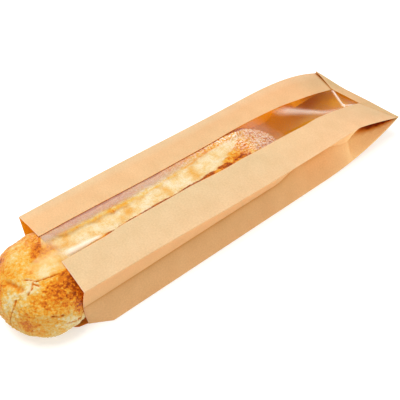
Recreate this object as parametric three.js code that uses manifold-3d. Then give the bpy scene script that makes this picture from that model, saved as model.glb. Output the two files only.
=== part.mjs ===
// A kraft paper bread bag lying on its back, with a clear film window down its front and a loaf in it.
// Millimetres, +Z up. The bag runs along X with its open mouth towards -X and its glued end at +X.
// The origin is on the ground, under the middle of the bag with its loaf. The near side is -Y.
import * as THREE from "three";
import { mergeVertices } from "three/addons/utils/BufferGeometryUtils.js";
import Module from "manifold-3d";

const wasm = await Module();
wasm.setup();

// Driving dimensions. Distances called x are measured from the bag's mouth.
const BAG = {
  length: 407.5, // mouth to the folded edge
  width: 120, // front panel and back panel
  gussetHalf: 30, // each side gusset is two of these
  paper: 0.8, // wall of the solid
  mouthHeight: 52.4, // of the front panel's side edges
  frontHeight: 48.1, // of the same edges further along
  nearWedge: { start: 337, power: 1.08 }, // where the near side edge drops to the glued end
  farWedge: { start: 275, power: 2.4 },
  backWedge: { start: 287, power: 2.2 }, // where the back rises to it
  creaseWedge: { start: 150, power: 1.7 }, // where the gusset folds start to run inwards
  nearCreaseIn: 10, // how far the gusset folds lie inwards at the mouth
  farCreaseIn: 7,
  nearInset: 3.6, // how far the side edges are drawn in at the mouth
  nearInsetLength: 150,
  farInset: 4.2,
  farInsetLength: 290,
  mouthTuck: 11.5, // how far the near lower corner of the mouth is drawn in
  mouthTuckLength: 18,
  endSkew: 3.5, // how far askew the glued end lies, at its corners
  skewStart: 250,
  tolerance: 0.02, // of its joined surface
};
const STRIP = {
  width: 41, // paper on each side of the window
  mouthHeight: 55, // of its window edge
  height: 58.4,
  heightAt: 130,
  wedge: { start: 245, power: 1.65 },
};
const LIP = {
  reach: 16, // of the back panel out of the mouth
  under: 2, // inside the mouth
  nearEnd: -47,
  farEnd: 57,
  corner: 9, // power of its rounded corners
  middle: 0.38, // height of the middle of its thickness
  thickness: 0.72,
};
const SEAL = {
  start: 402, // the last stretch is pressed flat and glued
  nearHeight: 25.8,
  farHeight: 28.5,
  gap: 2, // between the middles of front and back there
};
const FLAP = {
  depth: 19, // folded over onto the front
  foldCorner: 4, // its depth at the bag's side edges
  topWidth: 41, // its free edge before it slants to the corners
};
const FILM = {
  thickness: 0.4,
  lap: 5, // glued under each strip
  gap: 0.65, // clear of the paper
  mouthBulge: 3, // over the loaf, above the strips' window edges
  bulge: 0.8,
  sag: 3, // where the bag is empty
  sagStart: 225,
  end: 398,
};
const LOAF = {
  overhang: 59, // out of the mouth
  length: 328,
  halfWidth: 45.5,
  headHalfWidth: 48.5, // outside the mouth
  height: 55.5,
  headHeight: 57,
  neckHeight: 54.5,
  centreY: -1,
  headShiftY: -7.8,
  headRound: 43, // length of each rounded end
  tailRound: 66,
  squareness: 2.6,
  lowSquareness: 3.6, // of its lower half
  clearance: 1.2, // its underside above the ground, on the bag's back panel
  filmClearance: 0.8, // its crust under the middle of the film
  insideHalfWidth: 47.3, // room between the gusset folds
  lump: 0.8,
};
const SLASH = {
  start: -27,
  end: 242,
  endAtY: 14, // across the loaf, where it ends last
  slant: 1.73, // it ends sooner by this much of the way across from there
  farEdge: 9, // its two edges, across the loaf
  nearEdge: -15.5,
  depth: 3,
  ear: 3, // ridge along the far edge
  earWidth: 5,
};

const clamp01 = (v) => Math.min(1, Math.max(0, v));
const mix = (a, b, t) => a + (b - a) * t;
const smooth = (a, b, x) => {
  const t = clamp01((x - a) / (b - a));
  return t * t * (3 - 2 * t);
};
const bell = (v) => Math.exp(-v * v);

// 0 before a wedge's start, then growing to 1 at the glued stretch
const wedge = (x, { start, power }) => clamp01((x - start) / (SEAL.start - start)) ** power;

// Heights and places of the bag's folds at a distance x from the mouth. side is -1 near, +1 far.
const endHeight = (y) => mix(SEAL.nearHeight, SEAL.farHeight, 0.5 + y / BAG.width);

function sideEdgeY(x, side) {
  const nearInset = BAG.nearInset * clamp01(1 - x / BAG.nearInsetLength);
  const farInset = BAG.farInset * clamp01(1 - x / BAG.farInsetLength);
  return side * (BAG.width / 2 - (side < 0 ? nearInset : farInset));
}

function sideEdgeZ(x, side) {
  const open = mix(BAG.mouthHeight, BAG.frontHeight, smooth(50, 280, x));
  const sealed = endHeight((side * BAG.width) / 2) + SEAL.gap / 2;
  return mix(open, sealed, wedge(x, side < 0 ? BAG.nearWedge : BAG.farWedge));
}

function windowEdgeZ(x, side) {
  const open = mix(STRIP.mouthHeight, STRIP.height, smooth(0, STRIP.heightAt, x));
  const sealed = endHeight(side * (BAG.width / 2 - STRIP.width)) + SEAL.gap / 2;
  return mix(open, sealed, wedge(x, STRIP.wedge));
}

function backZ(x, side) {
  const sealed = endHeight((side * BAG.width) / 2) - SEAL.gap / 2;
  return mix(BAG.paper / 2, sealed, wedge(x, BAG.backWedge));
}

function creaseY(x, side) {
  const mouthIn = side < 0 ? BAG.nearCreaseIn : BAG.farCreaseIn;
  const inwards = mix(mouthIn, BAG.gussetHalf, wedge(x, BAG.creaseWedge));
  return side * (BAG.width / 2 - inwards);
}

function lowerCornerY(x, side) {
  const tuck = side < 0 ? BAG.mouthTuck * clamp01(1 - x / BAG.mouthTuckLength) : 0;
  return side * (BAG.width / 2 - tuck);
}

// A point of the front at x and y: the strips lean up to the window, which stands a little proud of them.
function frontPoint(x, y) {
  const windowHalf = BAG.width / 2 - STRIP.width;
  if (Math.abs(y) < windowHalf) {
    const across = 0.5 + y / (2 * windowHalf);
    return new THREE.Vector3(x, y, mix(windowEdgeZ(x, -1), windowEdgeZ(x, 1), across));
  }
  const side = Math.sign(y);
  const edge = Math.abs(sideEdgeY(x, side));
  const share = clamp01((edge - Math.abs(y)) / (edge - windowHalf));
  return new THREE.Vector3(x, y, mix(sideEdgeZ(x, side), windowEdgeZ(x, side), share));
}

// The glued end lies a little askew, so its stretch of the bag is sheared along X.
function skewEnd(geometry) {
  const position = geometry.getAttribute("position");
  for (let i = 0; i < position.count; i++) {
    const share = smooth(BAG.skewStart, BAG.length, position.getX(i));
    const shift = (BAG.endSkew * share * position.getY(i)) / (BAG.width / 2);
    position.setX(i, position.getX(i) - shift);
  }
  geometry.computeVertexNormals();
  return geometry;
}

const up = () => new THREE.Vector3(0, 0, 1);

// Closed solid of a sheet: surface(u, v) gives the middle of the sheet for u and v from 0 to 1,
// and facing(u, v) the direction in which its thickness is laid.
function sheetSolid(surface, facing, across, stations, thickness) {
  const along = stations.length - 1;
  const positions = [];
  const index = [];
  const row = (across + 1) * (along + 1);
  for (const side of [1, -1]) {
    for (const v of stations) {
      for (let i = 0; i <= across; i++) {
        const u = i / across;
        positions.push(...surface(u, v).addScaledVector(facing(u, v), (side * thickness) / 2));
      }
    }
  }
  const at = (side, j, i) => (side > 0 ? 0 : row) + j * (across + 1) + i;
  const quad = (a, b, c, d) => index.push(a, b, c, a, c, d);
  for (let j = 0; j < along; j++) {
    for (let i = 0; i < across; i++) {
      quad(at(1, j, i), at(1, j, i + 1), at(1, j + 1, i + 1), at(1, j + 1, i));
      quad(at(-1, j, i), at(-1, j + 1, i), at(-1, j + 1, i + 1), at(-1, j, i + 1));
    }
    quad(at(-1, j, 0), at(1, j, 0), at(1, j + 1, 0), at(-1, j + 1, 0));
    quad(at(1, j, across), at(-1, j, across), at(-1, j + 1, across), at(1, j + 1, across));
  }
  for (let i = 0; i < across; i++) {
    quad(at(1, 0, i), at(-1, 0, i), at(-1, 0, i + 1), at(1, 0, i + 1));
    quad(at(-1, along, i), at(1, along, i), at(1, along, i + 1), at(-1, along, i + 1));
  }
  const geometry = new THREE.BufferGeometry();
  geometry.setAttribute("position", new THREE.Float32BufferAttribute(positions, 3));
  geometry.setIndex(index);
  return geometry;
}

// The geometry as a manifold solid, with its faces turned outwards.
function toManifold(geometry) {
  const bare = new THREE.BufferGeometry();
  bare.setAttribute("position", geometry.getAttribute("position"));
  bare.setIndex(geometry.getIndex());
  const merged = mergeVertices(bare, 1e-4);
  const vertProperties = new Float32Array(merged.attributes.position.array);
  const triVerts = new Uint32Array(merged.index.array);
  const solid = new wasm.Manifold(new wasm.Mesh({ numProp: 3, vertProperties, triVerts }));
  if (solid.volume() > 0) return solid;
  for (let i = 0; i < triVerts.length; i += 3) {
    [triVerts[i + 1], triVerts[i + 2]] = [triVerts[i + 2], triVerts[i + 1]];
  }
  return new wasm.Manifold(new wasm.Mesh({ numProp: 3, vertProperties, triVerts }));
}

function toGeometry(solid) {
  const mesh = solid.getMesh();
  const points = new Float32Array(mesh.numVert * 3);
  for (let i = 0; i < mesh.numVert; i++) {
    points.set(mesh.vertProperties.subarray(i * mesh.numProp, i * mesh.numProp + 3), i * 3);
  }
  const geometry = new THREE.BufferGeometry();
  geometry.setAttribute("position", new THREE.BufferAttribute(points, 3));
  geometry.setIndex(new THREE.BufferAttribute(new Uint32Array(mesh.triVerts), 1));
  geometry.computeVertexNormals();
  return geometry;
}

// Distances from the mouth where the paper is shaped, closer together where it bends more.
function bagStations() {
  const list = [0, 6, 12, 18, 45, 75, 105, 150, 175, 210, 240, 262];
  for (let x = 281; x < SEAL.start; x += 14) list.push(x);
  list.push(SEAL.start, SEAL.start + 4, BAG.length);
  return list;
}

const paperStations = bagStations();
const asShare = (x) => x / BAG.length;

// A flat panel between two folds, each given as a function of x that returns its y and z.
// It runs past them by pastA and pastB, so that panels join at a fold.
function panel(foldA, foldB, pastA, pastB) {
  const line = (v) => {
    const x = v * BAG.length;
    const a = foldA(x);
    const b = foldB(x);
    return { x, a, b, length: Math.hypot(b.y - a.y, b.z - a.z) };
  };
  const surface = (u, v) => {
    const { x, a, b, length } = line(v);
    const t = mix(-pastA / length, 1 + pastB / length, u);
    return new THREE.Vector3(x, mix(a.y, b.y, t), mix(a.z, b.z, t));
  };
  const facing = (u, v) => {
    const { a, b, length } = line(v);
    return new THREE.Vector3(0, (a.z - b.z) / length, (b.y - a.y) / length);
  };
  return toManifold(sheetSolid(surface, facing, 1, paperStations.map(asShare), BAG.paper));
}

function paperBag() {
  const windowHalf = BAG.width / 2 - STRIP.width;
  const sideEdge = (side) => (x) => ({ y: sideEdgeY(x, side), z: sideEdgeZ(x, side) });
  const windowEdge = (side) => (x) => ({ y: side * windowHalf, z: windowEdgeZ(x, side) });
  const gussetFold = (side) => (x) => ({
    y: creaseY(x, side),
    z: (sideEdgeZ(x, side) + backZ(x, side)) / 2,
  });
  const lowerEdge = (side) => (x) => ({ y: lowerCornerY(x, side), z: backZ(x, side) });
  const past = 0.15;
  const lap = 0.4;

  const panels = [];
  for (const side of [-1, 1]) {
    panels.push(panel(sideEdge(side), windowEdge(side), past, 0));
    panels.push(panel(sideEdge(side), gussetFold(side), 0, lap));
    panels.push(panel(gussetFold(side), lowerEdge(side), 0, 0));
  }
  panels.push(panel(lowerEdge(-1), lowerEdge(1), past, past));
  panels.push(seal(), flap(), lip());
  // slivers of air shut in between the glued layers are filled by keeping the outer shell alone
  const shells = wasm.Manifold.union(panels).decompose();
  const bag = shells.reduce((best, shell) => (shell.volume() > best.volume() ? shell : best));
  return skewEnd(toGeometry(bag.simplify(BAG.tolerance)));
}

// The stretch at the end where all layers are glued together.
function seal() {
  const half = BAG.width / 2 - 0.3;
  const end = BAG.length + 0.3;
  const surface = (u, v) => {
    const y = mix(-half, half, u);
    return new THREE.Vector3(mix(SEAL.start, end, v), y, endHeight(y));
  };
  return toManifold(sheetSolid(surface, up, 1, [0, 1], SEAL.gap + BAG.paper - 0.3));
}

// The end of the back panel, folded over the end of the front and slanted to the bag's corners.
function flap() {
  const half = BAG.width / 2 - 0.5;
  const end = BAG.length - 0.3;
  const slantFrom = FLAP.topWidth / 2;
  const slanted = (y) => clamp01((Math.abs(y) - slantFrom) / (half - slantFrom));
  const surface = (u, v) => {
    const y = mix(-half, half, u);
    const depth = mix(FLAP.depth, FLAP.foldCorner, slanted(y));
    const point = frontPoint(mix(BAG.length - depth, end, v), y);
    point.z += 0.8 * BAG.paper;
    return point;
  };
  return toManifold(sheetSolid(surface, up, 20, [0, 0.33, 0.66, 1], BAG.paper));
}

// The back panel reaches a little out of the mouth, with rounded corners.
function lip() {
  const surface = (u, v) => {
    const reach = LIP.reach * Math.sqrt(1 - Math.abs(2 * u - 1) ** LIP.corner);
    return new THREE.Vector3(mix(LIP.under, -reach, v), mix(LIP.farEnd, LIP.nearEnd, u), LIP.middle);
  };
  return toManifold(sheetSolid(surface, up, 24, [0, 1], LIP.thickness));
}

// The film runs the whole length under the two strips and shows between them.
function filmLift(x) {
  const overLoaf = mix(FILM.mouthBulge, FILM.bulge, smooth(0, 120, x));
  return mix(overLoaf, -FILM.sag, smooth(FILM.sagStart, 300, x)) * (1 - smooth(350, FILM.end, x));
}

function filmPoint(x, y) {
  const half = BAG.width / 2 - STRIP.width;
  const below = BAG.paper / 2 + FILM.gap + FILM.thickness / 2;
  const across = clamp01(1 - (y / (half - 1)) ** 2);
  const point = frontPoint(x, y);
  point.z += filmLift(x) * across - below;
  return point;
}

function film() {
  const reach = BAG.width / 2 - STRIP.width + FILM.lap;
  const surface = (u, v) => filmPoint(mix(0, FILM.end, v), mix(-reach, reach, u));
  const stations = paperStations.filter((x) => x < FILM.end).map((x) => x / FILM.end);
  return skewEnd(toGeometry(toManifold(sheetSolid(surface, up, 10, [...stations, 1], FILM.thickness))));
}

// How far the loaf is drawn in at a distance d from one of its ends.
const rounding = (d, length) => Math.sqrt(1 - (1 - clamp01(d / length)) ** 2);

// Gentle lumps of the crust, from a few waves that don't repeat over the loaf.
function lumps(x, y, z) {
  return (
    Math.sin(x / 19 + y / 23 + 1.3) * Math.cos(z / 15 + x / 41) +
    0.6 * Math.sin(x / 9.5 - y / 12 + z / 14 + 0.4)
  );
}

// Relief of the long cut in the top: its pale floor, the ear along its far edge and the rim of its near edge.
function slashRelief(x, y) {
  const end = SLASH.end - SLASH.slant * (SLASH.endAtY - y);
  const along = smooth(SLASH.start, SLASH.start + 18, x) * (1 - smooth(end - 16, end, x));
  const farEdge = SLASH.farEdge - 7 * bell((x - 85) / 28) + 5 * smooth(120, 200, x);
  const pastNearEdge = smooth(SLASH.nearEdge - 2, SLASH.nearEdge + 3, y);
  const across = pastNearEdge * (1 - smooth(farEdge - 3, farEdge + 2, y));
  const ear = SLASH.ear * bell((y - farEdge - 2) / SLASH.earWidth);
  return along * (ear - SLASH.depth * across);
}

function loafPoint(d, angle) {
  const x = d - LOAF.overhang;
  const inside = smooth(-20, 4, x);
  const round = rounding(d, LOAF.headRound) * rounding(LOAF.length - d, LOAF.tailRound);
  const halfWidth = mix(LOAF.headHalfWidth, LOAF.halfWidth, inside) * round;
  const neck = mix(LOAF.headHeight, LOAF.neckHeight, inside);
  const height = mix(neck, LOAF.height, smooth(20, 120, x));
  const centreY = mix(LOAF.headShiftY, LOAF.centreY, smooth(-50, 40, x));
  const c = Math.cos(angle);
  const s = Math.sin(angle);
  const power = 2 / (s > 0 ? LOAF.squareness : LOAF.lowSquareness);
  const y = centreY + halfWidth * Math.sign(c) * Math.abs(c) ** power;
  const middle = 0.42 * height;
  const reach = s > 0 ? height - middle : middle;
  const drawnIn = round ** (s > 0 ? 0.8 : 1);
  const z = LOAF.clearance + middle + reach * Math.sign(s) * Math.abs(s) ** power * drawnIn;
  const centre = new THREE.Vector3(x, centreY, middle);
  const point = new THREE.Vector3(x, y, z);
  const outwards = point.clone().sub(centre).normalize();
  const underside = smooth(-0.2, 0.5, s); // the underside stays flat
  const relief = LOAF.lump * lumps(x, y, z) + slashRelief(x, y) * smooth(0.3, 0.8, s) * round;
  point.addScaledVector(outwards, relief * underside * smooth(0, 12, d));
  if (x > -6) {
    point.z = Math.min(point.z, filmPoint(x, point.y).z - LOAF.filmClearance);
    point.y = Math.max(point.y, -LOAF.insideHalfWidth);
  }
  point.z = Math.max(point.z, LOAF.clearance);
  return point;
}

// Rings of points along the loaf, closed by a point at each end.
function loaf() {
  const around = 48;
  const stations = [];
  for (let i = 1; i <= 9; i++) stations.push(LOAF.headRound * (1 - Math.cos((i / 9) * (Math.PI / 2))));
  const body = 20;
  const bodyLength = LOAF.length - LOAF.headRound - LOAF.tailRound;
  for (let i = 1; i < body; i++) stations.push(LOAF.headRound + (bodyLength * i) / body);
  for (let i = 9; i >= 1; i--) {
    stations.push(LOAF.length - LOAF.tailRound * (1 - Math.cos((i / 9) * (Math.PI / 2))));
  }
  const positions = [];
  for (const d of stations) {
    for (let k = 0; k < around; k++) {
      // angles gather on the top, where the cut is
      const share = k / around;
      const angle = 2 * Math.PI * share + 0.35 * Math.sin(4 * Math.PI * share);
      positions.push(...loafPoint(d, angle));
    }
  }
  const rings = stations.length;
  const head = positions.length / 3;
  const middle = LOAF.clearance + 0.42 * LOAF.height;
  positions.push(-LOAF.overhang, LOAF.headShiftY, middle);
  positions.push(LOAF.length - LOAF.overhang, LOAF.centreY, middle);
  const index = [];
  for (let k = 0; k < around; k++) {
    const next = (k + 1) % around;
    for (let r = 0; r < rings - 1; r++) {
      const a = r * around + k;
      const b = r * around + next;
      index.push(a, a + around, b + around, a, b + around, b);
    }
    index.push(head, k, next);
    const last = (rings - 1) * around;
    index.push(head + 1, last + next, last + k);
  }
  const geometry = new THREE.BufferGeometry();
  geometry.setAttribute("position", new THREE.Float32BufferAttribute(positions, 3));
  geometry.setIndex(index);
  return toGeometry(toManifold(geometry));
}

function named(name, geometry, material) {
  const mesh = new THREE.Mesh(geometry, new THREE.MeshStandardMaterial({ metalness: 0, ...material }));
  mesh.name = name;
  return mesh;
}

const bread = new THREE.Group();
bread.add(
  named("paper_bag", paperBag(), { color: 0xf0c795, roughness: 0.85, side: THREE.DoubleSide }),
  named("window_film", film(), { color: 0xffffff, roughness: 0.08, transparent: true, opacity: 0.2 }),
  named("loaf", loaf(), { color: 0xe0a050, roughness: 0.8 }),
);
bread.position.x = -(BAG.length + BAG.endSkew - LOAF.overhang) / 2;

const part = new THREE.Group();
part.add(bread);
export default part;
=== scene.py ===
import math

import bmesh
import bpy
from mathutils import Matrix, Vector, noise


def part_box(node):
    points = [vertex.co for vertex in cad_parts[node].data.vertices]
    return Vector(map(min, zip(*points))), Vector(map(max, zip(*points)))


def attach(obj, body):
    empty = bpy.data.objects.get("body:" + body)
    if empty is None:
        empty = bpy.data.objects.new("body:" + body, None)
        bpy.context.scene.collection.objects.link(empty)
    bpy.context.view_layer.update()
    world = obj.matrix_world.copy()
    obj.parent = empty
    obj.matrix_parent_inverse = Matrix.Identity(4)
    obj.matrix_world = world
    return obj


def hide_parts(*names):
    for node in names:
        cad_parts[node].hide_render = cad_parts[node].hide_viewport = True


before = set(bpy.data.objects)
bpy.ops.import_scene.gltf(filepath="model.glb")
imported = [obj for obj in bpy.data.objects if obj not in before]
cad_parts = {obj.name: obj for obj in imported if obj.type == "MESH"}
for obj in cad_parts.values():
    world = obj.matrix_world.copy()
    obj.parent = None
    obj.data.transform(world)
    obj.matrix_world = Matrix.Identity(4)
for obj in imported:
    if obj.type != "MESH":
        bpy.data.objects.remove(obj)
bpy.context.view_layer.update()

scene = bpy.context.scene
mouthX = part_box("window_film")[0][0]

# Lengths are in metres: x from the bag's mouth towards its glued end, y from its middle, under 0 on the near
# side, and z up from the floor. A pair such as (0.05, 0.28) is a stretch over which something comes or goes.


# small maths

def mix(a, b, t):
    return a + (b - a) * t


def clamp(v, low=0.0, high=1.0):
    return min(high, max(low, v))


def smooth(a, b, x):
    t = clamp((x - a) / (b - a))
    return t * t * (3 - 2 * t)


def bell(v):
    return math.exp(-v * v)


def hump(x, middle, width):  # 1 in its middle, fading to both sides
    return bell((x - middle) / width)


def plateau(x, height, rise, fall):  # this high from the end of its rise to the start of its fall
    return height * smooth(*rise, x) * (1 - smooth(*fall, x))


def wave(x, y, z, size, seed=0.0):  # soft noise from -1 to 1 with features of about this size
    return noise.noise(Vector((x / size + seed, y / size - seed, z / size + 2 * seed)))


def waveAt(point, size, seed):
    return wave(point.x, point.y, point.z, size, seed)


# mesh helpers

def pieceFrom(bm, name, material, node):
    mesh = bpy.data.meshes.new(name)
    bm.to_mesh(mesh)
    bm.free()
    mesh.transform(Matrix.Translation((mouthX, 0, 0)))
    mesh.shade_smooth()
    mesh.materials.append(material)
    piece = bpy.data.objects.new(name, mesh)
    scene.collection.objects.link(piece)
    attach(piece, "root")
    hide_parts(node)
    return piece


def thicken(piece, thickness):  # behind its faces
    wall = piece.modifiers.new("wall", "SOLIDIFY")
    wall.thickness = thickness
    wall.offset = -1
    wall.use_even_offset = False
    return wall


def gridSheet(across, along):  # each vertex lies at its column and row, as whole numbers
    bm = bmesh.new()
    bmesh.ops.create_grid(bm, x_segments=across, y_segments=along, size=0.5)
    for v in bm.verts:
        v.co = Vector((round((v.co.x + 0.5) * across), round((v.co.y + 0.5) * along), 0))
    return bm


def addSheetMap(bm, flatPlace):  # a UV map in metres on the flat paper
    layer = bm.loops.layers.uv.new("flatPaper")
    for face in bm.faces:
        for loop in face.loops:
            loop[layer].uv = flatPlace(loop.vert.co)


def upFaces(bm):  # a sheet that lies flat faces up
    bm.normal_update()
    if sum(face.normal.z for face in bm.faces) < 0:
        bmesh.ops.reverse_faces(bm, faces=bm.faces)
    bm.normal_update()


# material helpers

def newMaterial(name):
    material = bpy.data.materials.new(name)
    material.use_nodes = True
    material.node_tree.nodes.clear()
    return material, material.node_tree


def feed(tree, socket, value):  # with another node's output, or with a fixed value
    if isinstance(value, bpy.types.NodeSocket):
        tree.links.new(value, socket)
    else:
        socket.default_value = value


def addNode(tree, kind, settings=None, **sockets):  # a socket goes by its name, or by i and its number
    node = tree.nodes.new("ShaderNode" + kind)
    for key, value in (settings or {}).items():
        setattr(node, key, value)
    for key, value in sockets.items():
        numbered = key[0] == "i" and key[1:].isdigit()
        feed(tree, node.inputs[int(key[1:]) if numbered else key.replace("_", " ")], value)
    return node


def colour(red, green, blue):  # screen colour, 0 to 255, as linear light
    def linear(c):
        c /= 255
        return c / 12.92 if c <= 0.04045 else ((c + 0.055) / 1.055) ** 2.4
    return (linear(red), linear(green), linear(blue), 1.0)


def colourStops(stops):
    return [(place, colour(*shade)) for place, shade in stops]


def blendColours(tree, factor, a, b, mode="MIX"):
    node = tree.nodes.new("ShaderNodeMix")
    node.data_type = "RGBA"
    node.blend_type = mode
    for number, value in ((0, factor), (6, a), (7, b)):  # 6 and 7 are its colours
        feed(tree, node.inputs[number], value)
    return node.outputs[2]


white = (1, 1, 1, 1)


def ramp(tree, value, stops):  # stops are (place, colour) or (place, grey)
    node = tree.nodes.new("ShaderNodeValToRGB")
    while len(node.color_ramp.elements) < len(stops):
        node.color_ramp.elements.new(0.5)
    for element, (place, shade) in zip(node.color_ramp.elements, stops):
        element.position = place
        element.color = shade if isinstance(shade, tuple) else (shade, shade, shade, 1)
    tree.links.new(value, node.inputs[0])
    return node.outputs[0]


def attribute(tree, name):
    return addNode(tree, "Attribute", {"attribute_name": name}).outputs["Fac"]


def maths(tree, operation, a, b=0.0, c=0.0):
    node = tree.nodes.new("ShaderNodeMath")
    node.operation = operation
    for socket, value in zip(node.inputs, (a, b, c)):
        feed(tree, socket, value)
    return node.outputs[0]


def times(tree, a, b):
    return maths(tree, "MULTIPLY", a, b)


def noiseOn(tree, place, scale, detail=3.0, roughness=0.5):
    sockets = {"Vector": place, "Scale": scale, "Detail": detail, "Roughness": roughness}
    return addNode(tree, "TexNoise", None, **sockets).outputs[0]


def setSurface(tree, shader):
    addNode(tree, "OutputMaterial", None, Surface=shader.outputs[0])


# the camera stands where the photograph was taken from

cameraView = {
    "place": (-0.1376, -0.3718, 0.4740),
    "yaw": 39.42,
    "down": 44.11,
    "roll": -1.25,
    "lens": 58.7,
    "sensor": 36,
}


def makeCamera():
    data = bpy.data.cameras.new("photoCamera")
    data.sensor_width = cameraView["sensor"]
    data.lens = cameraView["lens"]
    yaw, down, roll = (math.radians(cameraView[key]) for key in ("yaw", "down", "roll"))
    ahead = Vector((math.sin(yaw) * math.cos(down), math.cos(yaw) * math.cos(down), -math.sin(down)))
    right = Vector((math.cos(yaw), -math.sin(yaw), 0))
    upward = right.cross(ahead)
    rolledRight = math.cos(roll) * right + math.sin(roll) * upward
    rolledUp = -math.sin(roll) * right + math.cos(roll) * upward
    camera = bpy.data.objects.new("photoCamera", data)
    axes = Matrix((rolledRight, rolledUp, -ahead)).transposed().to_4x4()
    camera.matrix_world = Matrix.Translation(Vector(cameraView["place"]) + Vector((mouthX, 0, 0))) @ axes
    scene.collection.objects.link(camera)
    scene.camera = camera


makeCamera()
print("camera set")


# studio: white floor, white surroundings and soft lamps

studio = {
    "skyStrength": 0.54,
    "floorSize": 6.0,
    "floorDrop": 0.0004,
    "floorPaint": 0.7,
    "floorGlow": 0.45,  # the table is lit from below
}

lamps = {
    "topLamp": {
        "place": (-0.22, 0.18, 1.12),
        "aim": (0, 0, 0),
        "size": (1.0, 0.6),
        "power": 13.7,
        "tint": (1, 1, 1),
    },
    "sideLamp": {
        "place": (0.45, -0.66, 0.30),
        "aim": (0.10, 0, 0.02),
        "size": (0.6, 0.3),
        "power": 2.3,
        "tint": (0.90, 0.86, 0.74),
    },
}


def makeSurroundings():
    scene.view_settings.view_transform = "Standard"
    world = bpy.data.worlds.new("whiteTent")
    world.use_nodes = True
    background = world.node_tree.nodes["Background"]
    background.inputs["Color"].default_value = white
    background.inputs["Strength"].default_value = studio["skyStrength"]
    scene.world = world


def makeFloor():
    bm = bmesh.new()
    bmesh.ops.create_grid(bm, x_segments=1, y_segments=1, size=studio["floorSize"] / 2)
    mesh = bpy.data.meshes.new("floor")
    bm.to_mesh(mesh)
    bm.free()
    mesh.transform(Matrix.Translation((0, 0, -studio["floorDrop"])))
    floor = bpy.data.objects.new("floor", mesh)
    scene.collection.objects.link(floor)
    material, tree = newMaterial("paleFloor")
    paint = addNode(tree, "BsdfDiffuse", None, Color=(studio["floorPaint"],) * 3 + (1,))
    glow = addNode(tree, "Emission", None, Color=white, Strength=studio["floorGlow"])
    setSurface(tree, addNode(tree, "AddShader", None, i0=paint.outputs[0], i1=glow.outputs[0]))
    mesh.materials.append(material)


def addLamp(name, place, aim, size, power, tint):
    data = bpy.data.lights.new(name, "AREA")
    data.shape = "RECTANGLE"
    data.size, data.size_y = size
    data.energy = power
    data.color = tint
    lamp = bpy.data.objects.new(name, data)
    lamp.location = place
    lamp.rotation_euler = (Vector(aim) - Vector(place)).to_track_quat("-Z", "Y").to_euler()
    lamp.visible_glossy = False
    scene.collection.objects.link(lamp)


makeSurroundings()
makeFloor()
for lampName, lampValues in lamps.items():
    addLamp(lampName, **lampValues)
print("studio set")


# the folded paper bag

bag = {
    "length": 0.4075,
    "width": 0.120,
    "gusset": 0.030,
    "strip": 0.041,
    "paper": 0.00022,
    "rows": 205,
    "mouthHeight": 0.0524,  # of the front panel's side edges
    "frontHeight": 0.0481,
    "frontSettles": (0.05, 0.28),  # from the first of those heights to the second
    "mouthWindowHeight": 0.0562,  # of the window's edges
    "windowHeight": 0.0538,
    "windowSettles": (0.020, 0.140),
    "windowRise": 0.0012,  # at the loaf's inner end
    "nearEndHeight": 0.0258,
    "farEndHeight": 0.0285,
    "nearDrop": (0.337, 1.08),  # where the slope to the glued end starts, and its power
    "farDrop": (0.275, 2.8),
    "windowDrop": (0.215, 2.45),
    "backRise": (0.287, 2.2),
    "endSkew": 0.0035,
    "skewFrom": 0.25,
    "floorGap": 0.0003,
    "sealGap": 0.0007,
    "nearCreaseIn": 0.010,  # at the mouth
    "farCreaseIn": 0.007,
    "foldedGap": 0.001,  # between the crease of a gusset folded flat and its full depth
    "nearInset": 0.0036,  # of the front's side edges at the mouth, and how far along it ends
    "nearInsetEnd": 0.150,
    "farInset": 0.0042,
    "farInsetEnd": 0.290,
    "cornerTuck": 0.0115,  # of the near lower corner at the mouth
    "cornerTuckEnd": 0.018,
    "nearLean": 0.0022,  # of the near window edge, in over the loaf
    "nearDraw": 0.0009,  # and back again
    "nearTailDraw": 0.0024,
    "crumple": 0.0004,
    "pocket": 0.3345,  # from here to the glued end the gussets lie folded flat
    "pocketFold": 0.004,
}

# how far in the gussets' creases lie by the end of each stretch, before the pocket
creaseSteps = [((0, 0.240), 0.0125), ((0.225, 0.290), 0.0250), ((0.294, 0.333), 0.0100)]


def wedge(x, start, power):
    return clamp((x - start) / (bag["length"] - start)) ** power


def endHeight(y):
    return mix(bag["nearEndHeight"], bag["farEndHeight"], clamp(0.5 + y / bag["width"]))


def sideEdgeZ(x, side):  # side is -1 near, 1 far
    level = mix(bag["mouthHeight"], bag["frontHeight"], smooth(*bag["frontSettles"], x))
    drop = wedge(x, *bag["nearDrop"]) if side < 0 else wedge(x, *bag["farDrop"])
    return mix(level, endHeight(side), drop)


def windowEdgeZ(x):
    level = mix(bag["mouthWindowHeight"], bag["windowHeight"], smooth(*bag["windowSettles"], x))
    level += plateau(x, bag["windowRise"], (0.195, 0.230), (0.300, 0.330))
    return mix(level, endHeight(0), wedge(x, *bag["windowDrop"]))


def nearWindowEdge(x):  # the near strip leans in over the loaf and draws back past its end
    inwards = plateau(x, bag["nearLean"], (0.042, 0.068), (0.140, 0.175))
    outwards = bag["nearDraw"] * smooth(0.165, 0.190, x) + bag["nearTailDraw"] * smooth(0.200, 0.235, x)
    return bag["strip"] - bag["width"] / 2 + inwards - outwards * (1 - smooth(0.290, 0.325, x))


def backZ(x):
    return mix(bag["floorGap"], endHeight(0) - bag["sealGap"], wedge(x, *bag["backRise"]))


def frontZ(x, y):
    half = bag["width"] / 2
    share = clamp((half - abs(y)) / bag["strip"])
    return mix(sideEdgeZ(x, -1 if y < 0 else 1), windowEdgeZ(x), share)


def skewed(point):  # the glued end lies a little askew
    point.x -= bag["endSkew"] * smooth(bag["skewFrom"], bag["length"], point.x) * point.y / (bag["width"] / 2)
    return point


def foldedFlat(x):
    return smooth(bag["pocket"], bag["pocket"] + bag["pocketFold"], x)


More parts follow.
